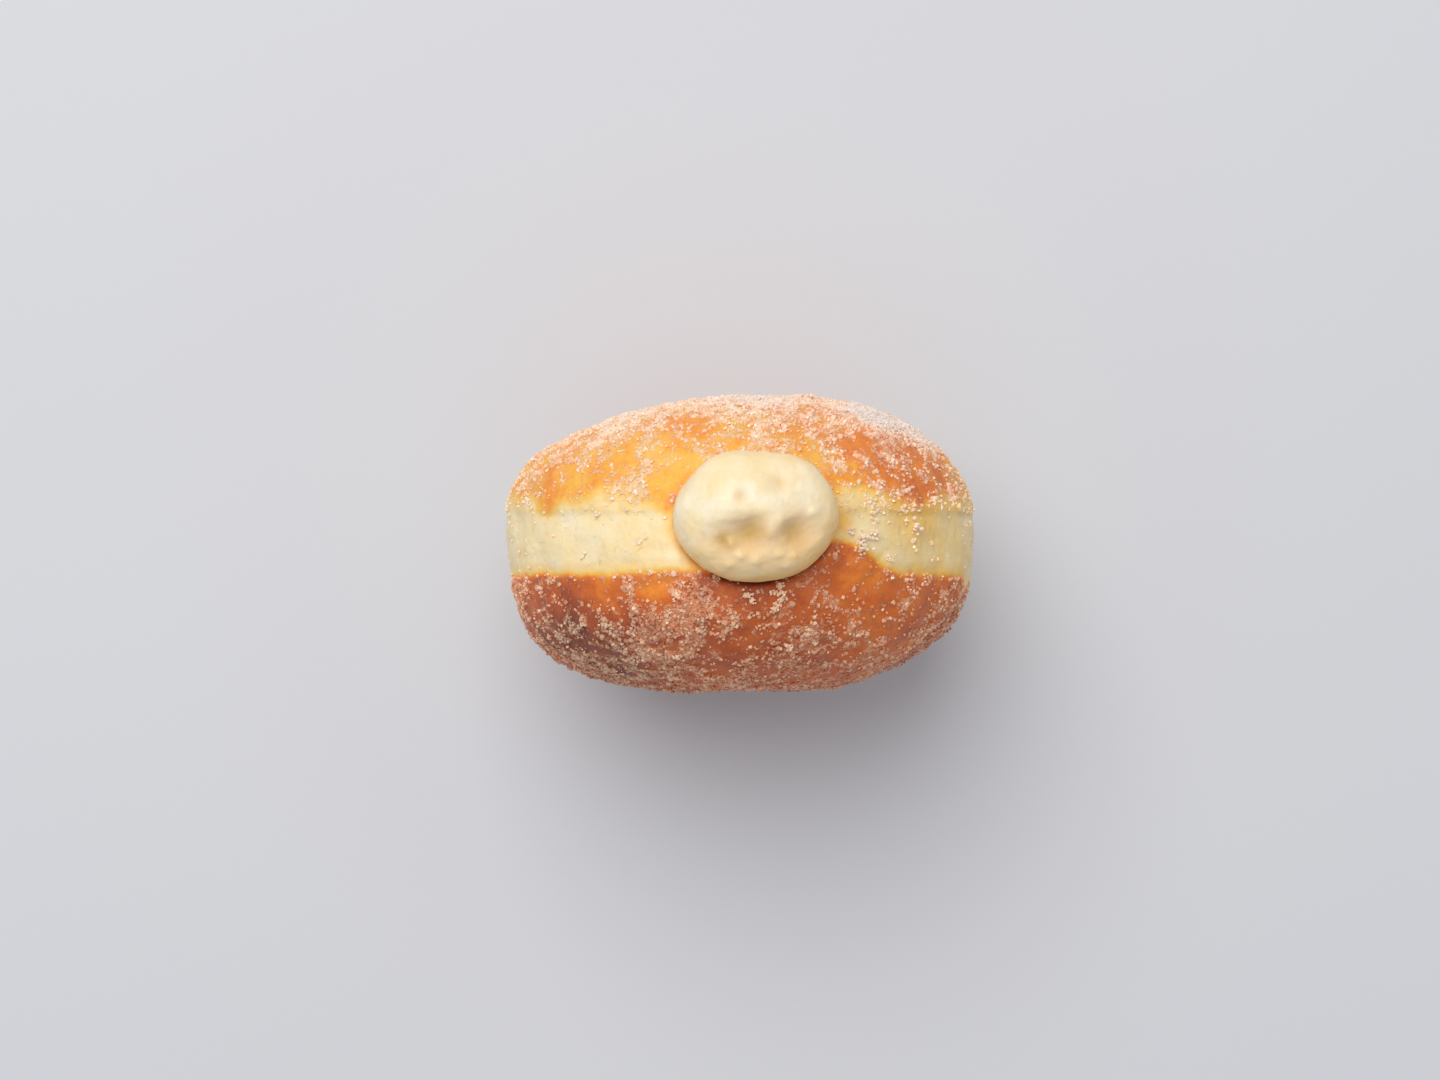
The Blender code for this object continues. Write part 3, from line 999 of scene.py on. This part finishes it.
def crystals_at(name, block, places, sizes, draw, whitest=0.0):
    """One piece that holds a block for each place that keeps it within the solids' box."""
    points, faces = block
    low, high = np.array(solid_box[0]), np.array(solid_box[1])
    reach = BLOCK_REACH * sizes[:, None]
    kept = ((places - reach > low) & (places + reach < high)).all(1)
    places, sizes = places[kept], sizes[kept]
    count = len(places)
    stretch = sizes[:, None] * draw.uniform(THINNEST, 1.0, (count, 3))
    chipped = points[None] + draw.uniform(-CHIPPED, CHIPPED, (count, *points.shape))
    turned = np.einsum("nij,nkj->nki", random_turns(draw, count), chipped * stretch[:, None])
    all_points = (turned + places[:, None]).reshape(-1, 3)
    all_faces = (faces[None] + (np.arange(count) * len(points))[:, None, None]).reshape(-1, 3)
    mesh = bpy.data.meshes.new(name)
    mesh.from_pydata(all_points.tolist(), [], all_faces.tolist())
    piece = bpy.data.objects.new(name, mesh)
    bpy.context.scene.collection.objects.link(piece)
    store(piece, "browning_and_shade", np.repeat(browning_and_shade_of(places), len(points)))
    store(piece, "white", np.repeat(np.maximum(whiteness_of(places, draw), whitest), len(points)))
    store(piece, "thick", np.repeat(np.clip(spots(places, THICK), 0, 1), len(points)))
    print(name + ":", count, "crystals,", len(all_faces), "triangles")
    return piece


# %% Pick places for single crystals and for small heaps
HEAP_LENGTH = 1.7
HEAP_WIDTHS = (0.5, 1.1)


def places_on_skin(weight, count, draw):
    """Random places on the skin, more of them where the weight is larger, with their normals."""
    chosen = draw.choice(len(triangles), count, p=weight / weight.sum())
    first, second = draw.random((2, count, 1))
    over = first + second > 1
    first, second = np.where(over, 1 - first, first), np.where(over, 1 - second, second)
    corner = triangles[chosen, 0]
    edge_a, edge_b = triangles[chosen, 1] - corner, triangles[chosen, 2] - corner
    return corner + first * edge_a + second * edge_b, facing[chosen]


def scatter(name, block, weight, count, smallest, largest, sunk, seed):
    """Single crystals, mostly small ones, each sunk into the skin by a share of its size."""
    draw = np.random.default_rng(seed)
    places, normals = places_on_skin(weight, count, draw)
    sizes = smallest + (largest - smallest) * draw.random(count) ** 2
    places = places + normals * (sizes * (0.5 - sunk))[:, None]
    return crystals_at(name, block, places, sizes, draw)


def scatter_clumps(name, block, weight, count, grains, spread, smallest, largest, seed):
    """Small heaps: each has some grains along a short line, more of them piled up in its middle."""
    draw = np.random.default_rng(seed)
    middles, normals = places_on_skin(weight, count, draw)
    heap = np.repeat(np.arange(count), draw.integers(grains // 2, grains + 1, count))
    away = draw.normal(size=(len(heap), 3)) * spread
    away = away * draw.uniform(*HEAP_WIDTHS, count)[heap, None]
    line = np.cross(normals, draw.normal(size=(count, 3)))
    line /= np.linalg.norm(line, axis=1)[:, None]
    away += line[heap] * (draw.normal(size=len(heap)) * spread * HEAP_LENGTH)[:, None]
    flat = away - np.einsum("ij,ij->i", away, normals[heap])[:, None] * normals[heap]
    heaped = np.exp(-((np.linalg.norm(flat, axis=1) / spread) ** 2))
    height = heaped * draw.random(len(heap)) * spread
    places = middles[heap] + flat + normals[heap] * height[:, None]
    sizes = draw.uniform(smallest, largest, len(heap))
    return crystals_at(name, block, places, sizes, draw)


# %% Scatter the crystals over the skin
weight = areas * shares
on_pale_side = triangles.mean(1)[:, 1] > 0
fine_pale = scatter(
    "sugar_fine_pale_side", fine_block, weight * on_pale_side,
    count=16000, smallest=0.26 * MM, largest=0.70 * MM, sunk=0.32, seed=101,
)
fine_brown = scatter(
    "sugar_fine_brown_side", fine_block, weight * ~on_pale_side,
    count=12500, smallest=0.26 * MM, largest=0.74 * MM, sunk=0.32, seed=102,
)
coarse = scatter(
    "sugar_coarse", coarse_block, weight,
    count=2600, smallest=0.5 * MM, largest=1.0 * MM, sunk=0.38, seed=103,
)
clumps = scatter_clumps(
    "sugar_clumps", fine_block, weight**2 / areas,
    count=1500, grains=14, spread=0.36 * MM, smallest=0.34 * MM, largest=0.70 * MM, seed=104,
)


# %% [markdown]
# Heaps and strands that can be seen one by one.
#
# A few lumps of sugar are large enough to be told apart: a small strand that hangs from the
# cream's lower edge, a curl beside it, and lumps on the pale band. Each is a handful of
# crystals round a named place. The nearest point of the skin says how high it lies.


# %% Lay the lumps that stand out
LUMPS = (
    ("top of the strand", (7.3, -7.4, 44.6), 0.45, 18),
    ("bar of the strand", (6.0, -8.6, 44.4), 0.40, 14),
    ("corner of the strand", (7.5, -8.8, 44.3), 0.45, 18),
    ("middle of the strand", (7.2, -10.0, 44.0), 0.45, 18),
    ("foot of the strand", (6.2, -11.3, 43.6), 0.65, 30),
    ("curl left of the strand", (0.9, -9.1, 45.2), 0.60, 26),
    ("tail of the curl", (2.0, -10.3, 45.0), 0.42, 14),
    ("lump right of the cream", (22.2, -0.4, 40.2), 1.0, 40),
    ("top of that lump", (22.6, 1.6, 40.0), 0.7, 22),
    ("arm of that lump", (24.8, 1.9, 38.8), 0.7, 18),
    ("small lump by the cream", (20.3, 2.6, 40.8), 0.5, 10),
    ("white lump on the band", (33.0, 3.2, 32.0), 0.8, 26),
    ("small lump beside it", (31.0, 4.6, 33.4), 0.5, 9),
    ("lump at the right edge of the crust", (27.5, -2.6, 36.5), 0.4, 6),
    ("lump above the crease", (-27.0, 5.4, 36.0), 0.45, 7),
    ("lump on the left of the band", (-29.5, -1.8, 35.0), 0.4, 5),
    ("lump in the brown crust", (8.5, -18.5, 37.8), 0.7, 14),
    ("lump under the low line", (-11.3, -20.4, 36.1), 0.6, 12),
)
LUMP_GRAIN_SMALLEST = 0.32 * MM
LUMP_GRAIN_LARGEST = 0.62 * MM
LUMP_TIGHTNESS = 0.7
LUMP_WHITENESS = 0.95


def lay_lumps(name, block, lumps, seed):
    """Handfuls of crystals round named places, all of them raised above the skin."""
    draw = np.random.default_rng(seed)
    places = []
    for _, middle, spread, grains in lumps:
        _, foot, normal, _ = dough.closest_point_on_mesh(hub + Vector(middle) * MM)
        foot, normal = np.array(foot), np.array(normal)
        away = draw.normal(size=(grains, 3)) * spread * MM * LUMP_TIGHTNESS
        height = (away @ normal)[:, None]
        places.append(foot + away - height * normal + np.abs(height) * normal)
    places = np.concatenate(places)
    sizes = draw.uniform(LUMP_GRAIN_SMALLEST, LUMP_GRAIN_LARGEST, len(places))
    return crystals_at(name, block, places, sizes, draw, whitest=LUMP_WHITENESS)


lumps = lay_lumps("sugar_lumps", coarse_block, LUMPS, seed=105)

# %% [markdown]
# The sugar's finish.
#
# Sugar is clear, yet a heap of it looks white, because light turns in every crystal. A crystal
# that lies alone takes the crust's colour. A see-through material would show that, but it comes
# out dark and grey here, so each crystal gets its own mix of the crust below it and white. The
# white that a few single crystals get by chance is a painted glint. The white is warmer over the
# golden crust than over the brown one.

# %% Finish the sugar
WHITE_ON_GOLD = linear(255, 234, 210)
WHITE_ON_BROWN = linear(255, 220, 184)


def sugar_finish():
    finish = Finish("sugar crystals")
    # The stored browning also holds the painted shade below the cream.
    fried = finish.stored("browning_and_shade")
    white_stops = ((GOLD_TO_BROWN[0], WHITE_ON_GOLD), (GOLD_TO_BROWN[1], WHITE_ON_BROWN))
    sugar_white = finish.ramp(fried, white_stops)
    colour = finish.mix(finish.stored("white"), finish.ramp(fried, FRIED_COLOURS), sugar_white)
    finish.set(
        Base_Color=finish.mix(finish.stored("thick"), colour, THICK_SUGAR),
        Roughness=0.25,
        IOR=1.5,
    )
    return finish.material


sugar_look = sugar_finish()
for sugar in (fine_pale, fine_brown, coarse, clumps, lumps):
    sugar.data.materials.append(sugar_look)
    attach(sugar, "root")

# %% [markdown]
# Floor, light and camera.
#
# The doughnut stands on plain pale grey and is seen from straight above. A wide soft lamp
# stands beyond the picture's top edge, a little to the left, so the shadow falls down and to the
# right and fades slowly. The pale world fills the rest.

# %% The floor
FLOOR_SIDE = 4.0
FLOOR_GREY = linear(216, 217, 221)
bpy.ops.mesh.primitive_plane_add(size=FLOOR_SIDE)
floor = bpy.context.object
floor.name = "floor"
floor_finish = Finish("pale floor")
floor_finish.set(Base_Color=FLOOR_GREY, Roughness=0.85, Specular_IOR_Level=0.2)
floor.data.materials.append(floor_finish.material)

# %% The lamp
LAMP_TOWARDS = Vector((-0.20, 0.46, 0.865)).normalized()
LAMP_AWAY = 1.33
LAMP_WIDTH = 1.2
LAMP_WATTS = 13.2
LAMP_COLOUR = (1.0, 0.985, 0.96)
lamp_data = bpy.data.lights.new("window", "AREA")
lamp_data.shape = "DISK"
lamp_data.size = LAMP_WIDTH
lamp_data.energy = LAMP_WATTS
lamp_data.color = LAMP_COLOUR
lamp = bpy.data.objects.new("window", lamp_data)
bpy.context.scene.collection.objects.link(lamp)
lamp.location = hub + LAMP_TOWARDS * LAMP_AWAY
lamp.rotation_euler = LAMP_TOWARDS.to_track_quat("Z", "Y").to_euler()

# %% The pale world
ROOM_COLOUR = (0.93, 0.95, 1.0, 1.0)
ROOM_STRENGTH = 0.47
world = bpy.data.worlds.new("pale room")
world.use_nodes = True
room_light = world.node_tree.nodes["Background"]
room_light.inputs["Color"].default_value = ROOM_COLOUR
room_light.inputs["Strength"].default_value = ROOM_STRENGTH
bpy.context.scene.world = world
bpy.context.scene.view_settings.view_transform = "Standard"

# %% The camera
PICTURE_WIDTH_PX = 1440
PX_PER_METRE = 5.087 / MM
CAMERA_AWAY = 620 * MM
SENSOR_WIDTH_MM = 36
NEAREST_SEEN = 10 * MM
picture_middle = Vector((-3.9, 0.9, 0)) * MM
camera_data = bpy.data.cameras.new("camera")
camera_data.sensor_width = SENSOR_WIDTH_MM
camera_data.lens = SENSOR_WIDTH_MM * PX_PER_METRE * CAMERA_AWAY / PICTURE_WIDTH_PX
camera_data.clip_start = NEAREST_SEEN
camera = bpy.data.objects.new("camera", camera_data)
bpy.context.scene.collection.objects.link(camera)
camera.location = hub + picture_middle + Vector((0, 0, CAMERA_AWAY))
bpy.context.scene.camera = camera
print("lens, mm:", round(camera_data.lens, 1))

# %% [markdown]
# Measure and finish.
#
# The dressed doughnut has to fill the same box as its solids, so the box of the solids is printed.

# %% Print the box of the solids
print("box of the solids, mm:", [[round(x / MM, 1) for x in c] for c in solid_box])
